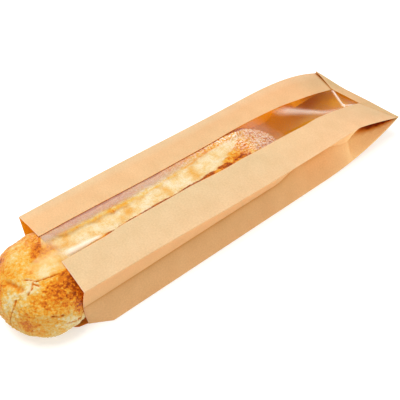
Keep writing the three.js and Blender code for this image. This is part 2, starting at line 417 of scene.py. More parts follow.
def creaseIn(x, mouthIn):  # it goes deeper towards the end, then comes out again just before the pocket
    inwards = mouthIn
    for stretch, reached in creaseSteps:
        inwards = mix(inwards, reached, smooth(*stretch, x))
    return mix(inwards, bag["gusset"] - bag["foldedGap"], foldedFlat(x))


def creaseZ(top, bottom):  # halfway up
    return mix(bottom, top, 0.5)


def foldPoints(x):  # (y, z) of the eight edges and folds across the sheet, near window edge first
    half = bag["width"] / 2
    window = half - bag["strip"]
    near, far, bottom = sideEdgeZ(x, -1), sideEdgeZ(x, 1), backZ(x)
    tuck = bag["cornerTuck"] * clamp(1 - x / bag["cornerTuckEnd"])
    nearIn = bag["nearInset"] * clamp(1 - x / bag["nearInsetEnd"])
    farIn = bag["farInset"] * clamp(1 - x / bag["farInsetEnd"])
    return [
        (nearWindowEdge(x), windowEdgeZ(x)),
        (-half + nearIn, near),
        (-half + creaseIn(x, bag["nearCreaseIn"]), creaseZ(near, bottom)),
        (-half + tuck, bottom),
        (half, bottom),
        (half - creaseIn(x, bag["farCreaseIn"]), creaseZ(far, bottom)),
        (half - farIn, far),
        (window, windowEdgeZ(x)),
    ]


# the end of the back panel, folded over the front

flap = {
    "freeEdge": 0.3885,
    "nearCorner": 0.004,  # its depth at its corners
    "farCorner": 0.0005,
    "topHalf": 0.0205,  # half of its straight free edge
    "bend": 0.0006,
    "under": 0.006,
    "rise": 0.0030,  # of its far side above the front
    "riseFrom": 0.012,
    "gap": 0.0003,
    "underShare": 0.3,  # of its rows, under the glued end
    "bendShare": 0.15,  # of its rows, round the end
    "across": 90,
    "along": 34,
}


def flapDepth(y):
    depth = bag["length"] - flap["freeEdge"]
    corner = flap["farCorner"] if y > 0 else flap["nearCorner"]
    return mix(depth, corner, clamp((abs(y) - flap["topHalf"]) / (bag["width"] / 2 - flap["topHalf"])))


# the panels between those folds: near strip, its gusset's upper and lower half, back, the far gusset's
# lower and upper half, far strip
panelColumns = [22, 14, 14, 36, 14, 14, 22]
panelWidths = [bag[part] for part in ("strip", "gusset", "gusset", "width", "gusset", "gusset", "strip")]
panelBows = [0.0006, -0.0005, -0.0007, 0.0, -0.0007, -0.0005, 0.0006]  # outwards at their middles
upperHalves = (1, 5)
nearLower = 2
backPanel = 3
farLower = 4
farStrip = 6

# how far each edge and fold stands out at the mouth: only the near side's do
mouthReach = [0, 0.0025, 0.0035, 0.0012, 0, 0, 0, 0]
mouthReachEnd = 0.03


def panelAt(column):  # which panel a column lies in, and how far across it
    panel = 0
    while column > panelColumns[panel] or (column == panelColumns[panel] and panel < farStrip):
        column -= panelColumns[panel]
        panel += 1
    share = column / panelColumns[panel]
    return panel, 0.5 - 0.5 * math.cos(math.pi * share)


def bagPoint(folds, x, panel, share):
    (ya, za), (yb, zb) = folds[panel], folds[panel + 1]
    length = max(1e-6, math.hypot(yb - ya, zb - za))
    outY, outZ = (zb - za) / length, -(yb - ya) / length
    y, z = mix(ya, yb, share), mix(za, zb, share)
    free = 4 * share * (1 - share) * (1 - smooth(0.36, 0.402, x))
    push = panelBows[panel] * free
    push += bag["crumple"] * free * (wave(x, y, z, 0.045, panel) + 0.4 * wave(x, y, z, 0.016, panel + 5))
    if panel == backPanel:  # the floor holds it up
        push = min(0.0, push) * 0.5
    return Vector((x, y + outY * push, z + outZ * push))


def flatAcross(panel, share):
    return sum(panelWidths[:panel]) + share * panelWidths[panel]


# how dark the paper lies in the shadow of its folds, from 0 to 1

shadow = {
    "flap": 0.6,
    "flapCorner": 0.5,  # at the window's far corner
    "flapCornerPlace": (0.3880, 0.0192),
    "upperHalf": 0.5,  # of a gusset, in the pocket
    "crease": 0.23,
    "creaseLine": 0.17,
    "under": 0.20,
    "underLine": 0.14,
    "pocketSoft": 0.75,
    "pocketLine": 0.25,
    "insideFar": 0.44,
    "insideNear": 0.48,
    "insideX": 0.374,
}


def flapShade(x, y):  # on the far strip
    cornerX, cornerY = shadow["flapCornerPlace"]
    corner = shadow["flapCorner"] * hump(y, cornerY, 0.0022) * hump(x, cornerX, 0.0024)
    return max(corner, shadow["flap"] * smooth(-0.0022, 0.0004, x - (bag["length"] - flapDepth(y))))


def lowerHalfShade(x, side, fromCrease):  # of a gusset's lower half, which the upper half hangs over
    inwards = creaseIn(x, bag["nearCreaseIn"] if side < 0 else bag["farCreaseIn"])
    gap = sideEdgeZ(x, side) - backZ(x) + 0.0005
    opening = gap / (1.25 + 0.5 * gap / inwards)  # how far in it is still open to the light
    depth = (1 - fromCrease) * inwards / opening
    away = fromCrease * bag["gusset"]
    crease = shadow["crease"] * math.exp(-away / 0.0045) + shadow["creaseLine"] * bell(away / 0.0012)
    crease *= smooth(0.004, 0.012, inwards) * (1 - 0.8 * smooth(0.296, 0.326, x))
    under = shadow["under"] * smooth(0.70, 1, depth) + shadow["underLine"] * smooth(0.90, 1, depth)
    outer = max(crease, plateau(x, under, (0.255, 0.285), (0.300, 0.318)))
    steep = mix(0.70, 0.45, smooth(0.360, 0.400, x))
    pocket = mix(0.10, 1, smooth(0.344, 0.380, x))
    line = shadow["pocketLine"] * smooth(0.92, 1.02, depth)
    pocket *= line + shadow["pocketSoft"] * smooth(steep, 1, depth)
    return mix(outer, pocket, foldedFlat(x))


def foldShade(x, panel, share):
    if panel == farStrip:
        return flapShade(x, bag["width"] / 2 - share * bag["strip"])
    if panel in upperHalves:
        fromCrease = 1 - share if panel == upperHalves[0] else share
        return shadow["upperHalf"] * foldedFlat(x) * (1 - fromCrease) * smooth(0.340, 0.368, x)
    if panel == nearLower:
        return lowerHalfShade(x, -1, share)
    if panel == farLower:
        return lowerHalfShade(x, 1, 1 - share)
    return 0.0


def innerShade(x, y):  # the darkest place inside, between the far gusset and the glued end
    far = shadow["insideFar"] * hump(x, shadow["insideX"], 0.022) * hump(y, 0.038, 0.011)
    return max(far, shadow["insideNear"] * hump(x, shadow["insideX"], 0.015) * hump(y, 0.004, 0.018))


def makeBag(material, inside):
    rows = bag["rows"]
    bm = gridSheet(sum(panelColumns), rows)
    shade = bm.verts.layers.float.new("shade")
    insideShade = bm.verts.layers.float.new("insideShade")
    columns = [panelAt(column) for column in range(sum(panelColumns) + 1)]
    along = [bag["length"] * row / rows for row in range(rows + 1)]
    folds = [foldPoints(x) for x in along]
    addSheetMap(bm, lambda co: (flatAcross(*columns[round(co.x)]), along[round(co.y)]))
    for v in bm.verts:
        column, row = round(v.co.x), round(v.co.y)
        panel, share = columns[column]
        x = along[row]
        point = bagPoint(folds[row], x, panel, share)
        reach = mix(mouthReach[panel], mouthReach[panel + 1], share)
        point.x -= reach * clamp(1 - x / mouthReachEnd) ** 2
        v[shade] = clamp(foldShade(x, panel, share))
        # painted shade on the inside paint, darkest between the far gusset and the glued end
        v[insideShade] = innerShade(point.x, point.y)
        v.co = skewed(point)
    lowest = min(bm.faces, key=lambda f: f.calc_center_median().z)
    if lowest.normal.z > 0:
        bmesh.ops.reverse_faces(bm, faces=bm.faces)
    bm.normal_update()
    piece = pieceFrom(bm, "bagPaper", inside, "paper_bag")
    piece.data.materials.append(material)
    thicken(piece, bag["paper"]).material_offset = 1


# the back panel reaches a little out of the mouth, under the loaf; its dark paint is painted shade

lip = {
    "reach": 0.0165,
    "nearEnd": -0.0484,
    "farEnd": 0.0570,
    "tucked": 0.003,  # how far inside the mouth it starts
    "squareness": 9,
    "height": 0.0007,
    "droop": 0.0003,
    "across": 48,
    "along": 12,
}

apartOnMap = 0.30  # where the lip and the end flap lie across the flat map


def makeLip(material):
    across, along = lip["across"], lip["along"]
    bm = gridSheet(across, along)
    addSheetMap(bm, lambda co: (apartOnMap + bag["width"] * co.x / across, -lip["reach"] * co.y / along))
    for v in bm.verts:
        share = 2 * v.co.x / across - 1
        y = mix(lip["nearEnd"], lip["farEnd"], 0.5 + 0.5 * share)
        reach = lip["reach"] * (1 - abs(share) ** lip["squareness"]) ** 0.5
        t = v.co.y / along
        v.co = Vector((mix(lip["tucked"], -reach, t), y, lip["height"] - lip["droop"] * t))
    upFaces(bm)
    thicken(pieceFrom(bm, "bagLip", material, "paper_bag"), bag["paper"])


def flapPoint(y, t):  # t goes from 0, under the glued end, to 1 at its free edge
    under, over = flap["underShare"], flap["underShare"] + flap["bendShare"]
    rise = flap["gap"] + flap["rise"] * smooth(flap["riseFrom"], bag["width"] / 2, y)
    if t < under:
        x = mix(bag["length"] - flap["under"], bag["length"], t / under)
        return Vector((x, y, backZ(x) - flap["gap"]))
    if t < over:
        turn = math.pi * (t - under) / flap["bendShare"]
        x = bag["length"] + flap["bend"] * math.sin(turn)
        return Vector((x, y, mix(backZ(x) - flap["gap"], frontZ(x, y) + rise, 0.5 - 0.5 * math.cos(turn))))
    share = (t - over) / (1 - over)
    x = bag["length"] - flapDepth(y) * share
    return Vector((x, y, frontZ(x, y) + rise + flap["gap"] * share * (1 + wave(x, y, 0, 0.02, 3))))


def makeFlap(material):
    across, along = flap["across"], flap["along"]
    bm = gridSheet(across, along)
    addSheetMap(bm, lambda co: (apartOnMap + co.x / across * bag["width"], 0.01 + co.y / along * 0.028))
    for v in bm.verts:
        y = mix(-bag["width"] / 2, bag["width"] / 2, v.co.x / across)
        v.co = skewed(flapPoint(y, v.co.y / along))
    upFaces(bm)
    thicken(pieceFrom(bm, "bagEndFlap", material, "paper_bag"), bag["paper"])


# brown paper: its outside; its inside as the window shows it, painted far more yellow as warm light bounced
# inside the bag; and the lip, painted darker as shade under the loaf

kraftLooks = {
    "kraftPaper": {
        "dark": (235, 221, 172),
        "light": (244, 231, 183),
        "glow": (248, 190, 98),  # of the light that comes through
        "through": 0.43,
        "rim": 0.7,  # how much paler its cut edge is at the mouth
        "shade": "shade",
    },
    # painted light: a more yellow copy of the paper, for the warm light bounced inside the bag
    "kraftInsideBounce": {
        "dark": (250, 206, 36),
        "light": (252, 220, 56),
        "glow": (255, 220, 92),
        "through": 0.55,
        "rim": 0,
        "shade": "insideShade",
    },
    # painted shade: a darker, opaque copy of the paper, for the lip in the loaf's shade
    "kraftLipShade": {
        "dark": (214, 130, 40),
        "light": (222, 140, 48),
        "glow": (252, 190, 96),
        "through": 0.0,
        "rim": 0.0,
        "shade": "shade",
    },
}

paperGrain = {
    "fibres": (2600, 380, 1),
    "clouds": 55,
    "specks": 1500,
    "clumps": 620,
    "fibreShare": 0.18,
    "clumpShare": 0.72,
    "fleckShare": 0.25,
    "fleck": (186, 132, 80),
    "cutEdge": 0.0009,
    "rimPaint": (255, 236, 204),
    "bump": 0.25,
    "bumpHeight": 0.00012,
    "roughness": 0.7,
}

# painted light: the gussets are tinted warmer, as warm light between the folds, and paler in the pocket at
# the glued end; the far strip, lip and end flap are tinted warmer and darker; painted fold shade comes on
# top. The map's width is taken times 3 for the ramps across it
mapStretch = 3
gussetStops = [  # 1 on the two gussets
    (0.122, 0.0), (0.126, 1.0), (0.301, 1.0), (0.305, 0.0),
    (0.661, 0.0), (0.665, 1.0), (0.840, 1.0), (0.844, 0.0),
]
pocketStops = [(0.215, 0.0), (0.275, 0.35), (0.325, 0.55), (0.338, 1.0)]  # along the bag
gussetWarmLight = (1.08, 0.93, 0.74, 1)
pocketPaintedLight = (1.17, 1.22, 1.06, 1)
farStops = [(0.86, white), (0.89, (1.02, 0.93, 0.84, 1))]  # far strip, lip and end flap
shadowStops = [
    (0.0, white),
    (0.2, (0.86, 0.73, 0.55, 1)),
    (0.4, (0.78, 0.52, 0.25, 1)),
    (0.6, (0.64, 0.30, 0.06, 1)),
    (0.8, (0.40, 0.10, 0.01, 1)),
    (1.0, (0.21, 0.030, 0.006, 1)),
]


def paintedFoldLight(tree, flat, shadeName):
    across = times(tree, flat.outputs["X"], mapStretch)
    warmth = blendColours(tree, ramp(tree, flat.outputs["Y"], pocketStops), gussetWarmLight, pocketPaintedLight)
    gussets = blendColours(tree, ramp(tree, across, gussetStops), white, warmth)
    gussets = blendColours(tree, 1.0, gussets, ramp(tree, across, farStops), "MULTIPLY")
    shade = ramp(tree, attribute(tree, shadeName), shadowStops)
    return blendColours(tree, 1.0, gussets, shade, "MULTIPLY")


def makeKraft(name):
    look = kraftLooks[name]
    material, tree = newMaterial(name)
    uv = addNode(tree, "UVMap", {"uv_map": "flatPaper"}).outputs[0]
    flat = addNode(tree, "SeparateXYZ", None, Vector=uv)
    fibres = addNode(tree, "Mapping", None, Vector=uv, Scale=paperGrain["fibres"]).outputs[0]
    cloudy = noiseOn(tree, uv, paperGrain["clouds"], 4)
    grain = noiseOn(tree, fibres, 1, 3, 0.6)
    speck = noiseOn(tree, uv, paperGrain["specks"], 2)
    clumps = noiseOn(tree, uv, paperGrain["clumps"], 3, 0.6)
    base = ramp(tree, cloudy, colourStops([(0.3, look["dark"]), (0.7, look["light"])]))
    darkFibres = ramp(tree, grain, [(0.3, 0.55), (0.7, 1.0)])
    base = blendColours(tree, paperGrain["fibreShare"], base, darkFibres, "MULTIPLY")
    darkClumps = ramp(tree, clumps, [(0.3, 0.76), (0.7, 1.03)])
    base = blendColours(tree, paperGrain["clumpShare"], base, darkClumps, "MULTIPLY")
    flecks = times(tree, ramp(tree, speck, [(0.70, 0.0), (0.76, 1.0)]), paperGrain["fleckShare"])
    base = blendColours(tree, flecks, base, colour(*paperGrain["fleck"]))
    atMouth = maths(tree, "LESS_THAN", flat.outputs["Y"], paperGrain["cutEdge"])
    cutEdge = times(tree, atMouth, look["rim"])
    base = blendColours(tree, cutEdge, base, colour(*paperGrain["rimPaint"]))
    # painted light and shade of the folds, on the paint and on the light that passes through
    tint = paintedFoldLight(tree, flat, look["shade"])
    base = blendColours(tree, 1.0, base, tint, "MULTIPLY")
    passed = blendColours(tree, 1.0, colour(*look["glow"]), tint, "MULTIPLY")
    height = maths(tree, "ADD", grain, times(tree, speck, 0.5))
    relief = {"Strength": paperGrain["bump"], "Distance": paperGrain["bumpHeight"], "Height": height}
    bump = addNode(tree, "Bump", None, **relief).outputs[0]
    paint = {"Base_Color": base, "Roughness": paperGrain["roughness"], "Normal": bump}
    paper = addNode(tree, "BsdfPrincipled", None, **paint)
    paper.inputs["Specular IOR Level"].default_value = 0.25
    through = addNode(tree, "BsdfTranslucent", None, Color=passed)
    both = {"i0": look["through"], "i1": paper.outputs[0], "i2": through.outputs[0]}
    setSurface(tree, addNode(tree, "MixShader", None, **both))
    return material


kraft = makeKraft("kraftPaper")
makeBag(kraft, makeKraft("kraftInsideBounce"))
makeLip(makeKraft("kraftLipShade"))
makeFlap(kraft)
print("paper bag made")


# the clear film behind the window

film = {
    "lap": 0.005,
    "under": 0.0006,
    "mouthBulge": 0.0030,
    "bulge": 0.0008,
    "sag": 0.0030,
    "start": 0.0006,
    "end": 0.398,
    "thickness": 0.00006,
    "across": 72,
    "along": 300,
    # painted reflection: how much pale sheen the film shows over the loaf's far side, over its inner end and
    # at the glued end
    "farSheen": 0.36,  # how milky it is over the loaf's far side
    "tailSheen": 0.13,  # over the loaf's inner end
    "endSheen": 0.07,
    "foldLight": 0.85,  # how bright its tight folds are
    "streakLight": 0.34,
    "streakHeight": 0.0010,
    "clear": (0.99, 0.985, 0.98, 1),
    # colours of the painted reflection and of the painted highlight on the folds
    "sheenColour": (208, 176, 162),
    "bright": (246, 226, 208),
    "roughness": 0.07,
    "gloss": 0.0025,
    "edgeGloss": 0.45,
}

# the soft fold of the loose film near the glued end
streakPath = [
    (0.2866, 0.0157), (0.3033, 0.0103), (0.3146, 0.0037),
    (0.3258, -0.0045), (0.3341, -0.0126), (0.3437, -0.0195),
]

# its tight folds at the glued end: from, to, brightness and width of the light, height and width of the fold
tightFolds = [
    ((0.388, 0.019), (0.364, -0.019), 1.0, 0.0011, 0.0016, 0.0016),
    ((0.366, -0.014), (0.386, -0.021), 0.8, 0.0013, 0.0009, 0.0014),
]


def filmLift(x):
    overLoaf = mix(film["mouthBulge"], film["bulge"], smooth(0, 0.120, x))
    return mix(overLoaf, -film["sag"], smooth(0.225, 0.300, x)) * (1 - smooth(0.350, film["end"], x))


def alongLine(x, y, start, end):  # share of the way from start to end, and distance from that line
    direction = Vector((end[0] - start[0], end[1] - start[1]))
    offset = Vector((x - start[0], y - start[1]))
    share = offset.dot(direction) / direction.length_squared
    return share, abs(direction.x * offset.y - direction.y * offset.x) / direction.length


def ridge(x, y, start, end, width):  # 1 on the line, fading to its sides and past its ends
    share, away = alongLine(x, y, start, end)
    return bell(away / width) * smooth(-0.15, 0.1, share) * (1 - smooth(0.9, 1.15, share))


def streak(x, y, width):  # 1 on the soft fold, fading to its ends
    nearest = 0.0
    for start, end in zip(streakPath, streakPath[1:]):
        share, away = alongLine(x, y, start, end)
        overrun = max(-share, share - 1, 0) * (Vector(end) - Vector(start)).length
        nearest = max(nearest, bell(math.hypot(away, overrun) / width))
    return nearest * smooth(0.282, 0.306, x) * mix(1, 0.7, smooth(0.330, 0.345, x))


def glint(x, y):  # 1 on the tight folds: two at the glued end, one at the mouth
    shine = 0.0
    for start, end, light, lightWidth, height, width in tightFolds:
        shine += light * ridge(x, y, start, end, lightWidth)
    mouthWidth = mix(0.0022, 0.0009, smooth(0.012, 0.044, x))
    return shine + 0.85 * ridge(x, y, (0.0100, -0.0140), (0.0400, -0.0158), mouthWidth)


def filmWrinkles(x, y):
    rise = film["streakHeight"] * streak(x, y, 0.0042)
    for start, end, light, lightWidth, height, width in tightFolds:
        rise += height * ridge(x, y, start, end, width)
    rise += 0.0008 * ridge(x, y, (0.006, -0.0135), (0.046, -0.0165), 0.0026)
    rise += 0.00025 * wave(x, y, 0, 0.030, 2) + 0.0001 * wave(x, y, 0, 0.010, 7)
    return rise


# painted reflection, over a faint haze of the film itself
def filmSheen(x, y):  # where the film is milky with light
    ragged = y + 0.0015 * wave(x, y, 0, 0.02, 1)
    sheenShare = film["farSheen"] * smooth(0.0045, 0.0120, ragged) * (1 - smooth(0.11, 0.20, x))
    sheenShare *= 1 - 0.45 * smooth(0.0150, 0.0190, y)
    sheenShare += film["endSheen"] * smooth(0.360, 0.375, x) * (1 - smooth(-0.018, 0, y))
    overTail = plateau(x, film["tailSheen"], (0.225, 0.240), (0.254, 0.270))
    sheenShare += overTail * (0.9 + 0.5 * wave(x, y, 0, 0.011, 9))
    return clamp(sheenShare + 0.0015 * (1 + wave(x, y, 0, 0.012, 4)), 0, 0.85)


def filmZ(x, y):
    window = bag["width"] / 2 - bag["strip"]
    across = clamp(1 - (y / (window - 0.001)) ** 2)
    free = smooth(0, 0.25, across)
    return frontZ(x, y) - film["under"] + filmLift(x) * across + filmWrinkles(x, y) * free


def makeFilm(material):
    across, along = film["across"], film["along"]
    bm = gridSheet(across, along)
    sheen = bm.verts.layers.float.new("sheen")
    bright = bm.verts.layers.float.new("bright")
    reach = bag["width"] / 2 - bag["strip"] + film["lap"]
    for v in bm.verts:
        x = mix(film["start"], film["end"], v.co.y / along)
        y = mix(-reach, reach, v.co.x / across)
        # painted highlight on its folds, and painted reflection, for the material
        light = film["foldLight"] * glint(x, y) + film["streakLight"] * streak(x, y, 0.0050)
        v[sheen] = filmSheen(x, y)
        v[bright] = clamp(light, 0, 0.9)
        v.co = skewed(Vector((x, y, filmZ(x, y))))
    upFaces(bm)
    thicken(pieceFrom(bm, "windowFilm", material, "window_film"), film["thickness"])


def makeFilmMaterial():
    material, tree = newMaterial("clearFilm")
    place = addNode(tree, "TexCoord").outputs["Object"]
    sheenStreaks = ramp(tree, noiseOn(tree, place, 90, 3), [(0.3, 0.7), (0.7, 1.0)])
    sheenShare = times(tree, attribute(tree, "sheen"), sheenStreaks)
    clear = addNode(tree, "BsdfTransparent", None, Color=film["clear"])
    # painted reflection: a pale diffuse paint mixed over the clear film where the sheen is
    sheenPaint = addNode(tree, "BsdfDiffuse", None, Color=colour(*film["sheenColour"]))
    body = addNode(tree, "MixShader", None, i0=sheenShare, i1=clear.outputs[0], i2=sheenPaint.outputs[0])
    # painted highlight on the film's folds
    folds = addNode(tree, "BsdfDiffuse", None, Color=colour(*film["bright"]))
    folded = times(tree, attribute(tree, "bright"), sheenStreaks)
    body = addNode(tree, "MixShader", None, i0=folded, i1=body.outputs[0], i2=folds.outputs[0])
    gloss = addNode(tree, "BsdfGlossy", None, Color=white, Roughness=film["roughness"])
    facing = addNode(tree, "LayerWeight", None, Blend=0.5).outputs["Facing"]
    edge = times(tree, maths(tree, "POWER", facing, 5.0), film["edgeGloss"])
    shine = maths(tree, "ADD", edge, film["gloss"])
    setSurface(tree, addNode(tree, "MixShader", None, i0=shine, i1=body.outputs[0], i2=gloss.outputs[0]))
    return material


makeFilm(makeFilmMaterial())
print("film made")


# the loaf: its head sticks out of the mouth, its tail is the inner end

loaf = {
    "overhang": 0.059,
    "length": 0.332,
    "halfWidth": 0.0455,
    "headHalfWidth": 0.0485,
    "height": 0.0528,
    "headHeight": 0.057,
    "neckHeight": 0.0545,
    "neckIn": (-0.007, 0.014),  # where the bag takes it in
    "settles": (0.020, 0.120),
    "centreY": -0.001,
    "headShiftY": -0.0078,
    "straightens": (-0.050, 0.040),
    "headRound": 0.043,
    "tailRound": 0.066,
    "squareness": 2.6,
    "lowSquareness": 3.1,
    "widest": 0.42,  # of the way up
    "clearance": 0.0012,
    "filmGap": 0.0006,
    "gussetGap": 0.0012,
    "around": 260,  # points round its section
    "step": 0.0008,  # between its rings at the head
    "fineInside": 0.016,  # how far inside the mouth those go on
    "bodyStep": 0.00135,
}

slash = {
    "start": -0.027,
    "end": 0.242,  # at its far edge
    "farEdge": 0.0045,
    "waist": 0.0022,  # how far the far edge draws in, spreads, and swings at the mouth
    "spread": 0.0065,
    "headSwing": 0.010,
    "mouthSwing": 0.0135,
    "ragged": 0.0015,
    "nearEdge": -0.0155,
    "nearDraw": 0.0009,
    "nearNicks": 0.0014,
    "slant": 2.17,  # sooner by this much of the way across
    "depth": 0.0022,
    "ear": 0.0022,
    "earWidth": 0.004,
}

# cracks of the head: points on the crust, width, depth, all in millimetres, and how dark
cracks = [
    ([(-35, -14, 56), (-30, -19, 56), (-27, -23, 56), (-16, -27, 56)], 0.6, 1.1, 0.85),
    ([(-16, -27, 56), (-12, -27.5, 55.5), (-7, -28, 54)], 0.6, 1.0, 0.75),
    ([(-13, -34, 53), (-8, -32, 52.5), (-3, -30, 52), (3, -28, 51)], 1.3, 0.8, 0.75),
    ([(-38, -28, 53), (-33, -27, 55), (-29, -22, 56)], 0.6, 0.8, 0.7),
    ([(-30, -24, 56), (-27, -29, 55)], 0.6, 0.6, 0.7),
    ([(-44, -6, 52), (-42, -14, 53), (-40, -21, 54)], 1.9, 1.1, 0.5),
    ([(-47, -23, 48), (-50, -25, 44), (-53, -25, 40), (-56, -24, 30), (-57, -23, 24)], 0.5, 0.8, 0.7),
    ([(-31, -50, 39), (-27, -51, 37), (-23, -52, 36)], 0.9, 1.3, 0.85),
    ([(-24, -54, 27), (-14, -53, 22)], 0.6, 0.9, 0.6),
    ([(-11, -52.5, 21), (2, -50, 19)], 0.8, 1.2, 0.85),
    ([(2, 23, 53), (-8, 17, 54)], 0.8, 1.3, 0.8),
]

# patches of the head paler (under 0) or darker than the rest: place and radius in millimetres, amount
patches = [
    # most are its baking; the dark ones by the mouth on the near side, about x 0, are painted shade of the
    # bag's edge
    ((-1, -38, 49), 9, 0.14), ((0, -47, 38), 10, 0.10), ((-4, -51, 27), 6, 0.30),
    ((-22, -36, 53), 9, 0.28), ((-14, -45, 46), 9, 0.10), ((-22, -53, 30), 9, -0.14),
    ((-14, -54, 22), 9, -0.26), ((-4, -52, 14), 12, -0.34), ((-15, -17, 56), 8, -0.42),
    ((-5, -21, 54), 6, -0.20), ((-9, 3, 55), 7, 0.30), ((-5, -30, 53), 5, 0.50),
    ((-31, -30, 55), 5, -0.26), ((1, 2, 53), 6, 0.30), ((6, -5, 52), 5, 0.28),
    ((-16, 8, 57), 5, -0.20), ((-16, 25, 53), 6, -0.30), ((-43, -24, 52), 6, -0.22),
    ((-54, -13, 44), 6, -0.24), ((-35, 19, 51), 7, 0.28), ((-10, -50, 27), 6, 0.22),
    ((-49, -39, 29), 9, 0.18), ((-11, -8, 54), 5, 0.20), ((1, -35, 51), 6, 0.28),
    ((-53, -26, 40), 7, -0.12), ((-20, -22, 57), 5, -0.34), ((-33, -25, 55), 6, -0.46),
    ((-43, -32, 47), 6, -0.24), ((-42, -46, 24), 11, 0.08), ((-52, -3, 44), 8, 0.28),
    ((-51, -19, 46), 9, -0.40), ((-30, 14, 54), 9, -0.22), ((-28, -14, 57.5), 3, 0.34),
    ((-17, 22, 53), 3, -0.40), ((-24, 24, 52), 3, -0.40), ((-40, 24, 46), 6, 0.20),
    ((-54, -30, 26), 12, -0.04), ((-34, -51, 22), 12, -0.18),
]

# the ear is the raised edge along the far side of the cut. Out of the mouth its browned line bends away
earLine = [(-0.0185, -0.004), (-0.0133, 0.0047), (-0.0085, 0.0091), (-0.0031, 0.0137), (0.0031, 0.0177)]


def rounding(d, length):
    return math.sqrt(1 - (1 - clamp(d / length)) ** 2)


def loafPoint(d, angle):  # d is measured from the tip of the head
    x = d - loaf["overhang"]
    inside = smooth(*loaf["neckIn"], x)
    shrink = rounding(d, loaf["headRound"]) * rounding(loaf["length"] - d, loaf["tailRound"])
    halfWidth = mix(loaf["headHalfWidth"], loaf["halfWidth"], inside) * shrink
    neck = mix(loaf["headHeight"], loaf["neckHeight"], inside)
    height = mix(neck, loaf["height"], smooth(*loaf["settles"], x))
    centreY = mix(loaf["headShiftY"], loaf["centreY"], smooth(*loaf["straightens"], x))
    c, s = math.cos(angle), math.sin(angle)
    power = 2 / (loaf["squareness"] if s > 0 else loaf["lowSquareness"])
    y = centreY + halfWidth * math.copysign(abs(c) ** power, c)
    middle = loaf["widest"] * height
    reach = height - middle if s > 0 else middle
    rise = reach * math.copysign(abs(s) ** power, s) * shrink ** (0.8 if s > 0 else 1.0)
    return Vector((x, y, loaf["clearance"] + middle + rise))


def slashEnd(y):
    return slash["end"] - slash["slant"] * (0.014 - y)


def slashFarEdge(x):
    edge = slash["farEdge"] - slash["waist"] * hump(x, 0.085, 0.035)
    edge += slash["spread"] * smooth(0.120, 0.200, x)
    edge += slash["ragged"] * wave(x, 0, 0, 0.014, 21)
    return edge - slash["headSwing"] * smooth(0.006, -0.020, x) + slash["mouthSwing"] * hump(x, 0.004, 0.010)


def slashNearEdge(x):
    nicks = hump(x, 0.105, 0.014) + hump(x, 0.165, 0.018)
    return slash["nearEdge"] + slash["nearDraw"] * smooth(0.050, 0.080, x) + slash["nearNicks"] * nicks


def slashShare(x, y):  # 1 on the opened floor of the long cut
    ragged = 0.0016 * wave(x, y, 0, 0.009, 4) + 0.0008 * wave(x, y, 0, 0.003, 9)
    torn = 2 * ragged + 0.006 * wave(x, y, 0, 0.018, 17) + 0.007 * wave(x, y, 0, 0.006, 27)
    along = smooth(slash["start"] - 0.004, slash["start"] + 0.006, x + ragged)
    along *= 1 - smooth(slashEnd(y) - 0.003, slashEnd(y) + 0.003, x + torn)
    near = smooth(-0.0015, 0.0015, y - slashNearEdge(x) + ragged + 0.010 * smooth(0.030, 0, x))
    far = 1 - smooth(slashFarEdge(x) - 0.001, slashFarEdge(x) + 0.001, y + ragged)
    return along * near * far


def slashRelief(x, y):
    along = plateau(x, 1, (slash["start"], slash["start"] + 0.018), (slashEnd(y) - 0.016, slashEnd(y)))
    ear = slash["ear"] * hump(y - slashFarEdge(x), 0.002, slash["earWidth"])
    return along * ear - slash["depth"] * slashShare(x, y) * mix(0.35, 1, smooth(-0.010, 0.020, x))


def crackAt(point, normal):  # height of the crust near a crack, and how dark the crack makes it
    lowest, highest, darkest = 0.0, 0.0, 0.0
    wander = 0.0009 * waveAt(point, 0.0045, 11)
    openness = smooth(-0.45, -0.05, waveAt(point, 0.0035, 19))
    for line, width, depth, dark in cracks:
        for start, end in zip(line, line[1:]):
            a, b = Vector(start) * 0.001, Vector(end) * 0.001
            along = clamp((point - a).dot(b - a) / (b - a).length_squared)
            offset = point - a.lerp(b, along)
            above = offset.dot(normal)
            away = (offset - above * normal).length
            if away < 0.008 and abs(above) < 0.006:
                away = abs(away + wander)
                reach = width * 0.001
                near = bell(away / reach) * mix(0.4, 1, openness)
                lowest = min(lowest, depth * -0.001 * near)
                highest = max(highest, 0.0005 * hump(away, 2.6 * reach, 1.3 * reach))
                darkest = max(darkest, near * dark)
    return lowest + highest * (1 - darkest), darkest


def patchBake(point):
    total = 0.0
    for place, radius, amount in patches:
        away = (point * 1000 - Vector(place)).length / radius
        if away < 2.5:
            total += amount * bell(away * (1 + 0.3 * waveAt(point, 0.006, 13)))
    return total


def earBrown(x, y):
    if x < earLine[-1][0] + 0.004:
        nearest = 0.0
        for start, end in zip(earLine, earLine[1:]):
            direction, offset = Vector(end) - Vector(start), Vector((x, y)) - Vector(start)
            along = clamp(offset.dot(direction) / direction.length_squared)
            away = (offset - along * direction).length
            nearest = max(nearest, bell(away / 0.0026))
        return nearest
    return hump(y - slashFarEdge(x), 0.0014, 0.0018) * mix(0.8, 0.15, smooth(0.060, 0.125, x))


def loafRings():  # distances from its tip to its rings, closest together at the head
    head, tail, length = loaf["headRound"], loaf["tailRound"], loaf["length"]
    count = round(head * math.pi / 2 / loaf["step"])
    rings = [head * (1 - math.cos(math.pi / 2 * i / count)) for i in range(1, count + 1)]
    while rings[-1] < loaf["overhang"] + loaf["fineInside"]:
        rings.append(rings[-1] + loaf["step"])
    while rings[-1] < length - tail:
        rings.append(rings[-1] + loaf["bodyStep"])
    count = round(tail * math.pi / 2 / loaf["bodyStep"] / 1.15)
    return rings + [length - tail * (1 - math.cos(math.pi / 2 * i / count)) for i in range(count - 1, 0, -1)]


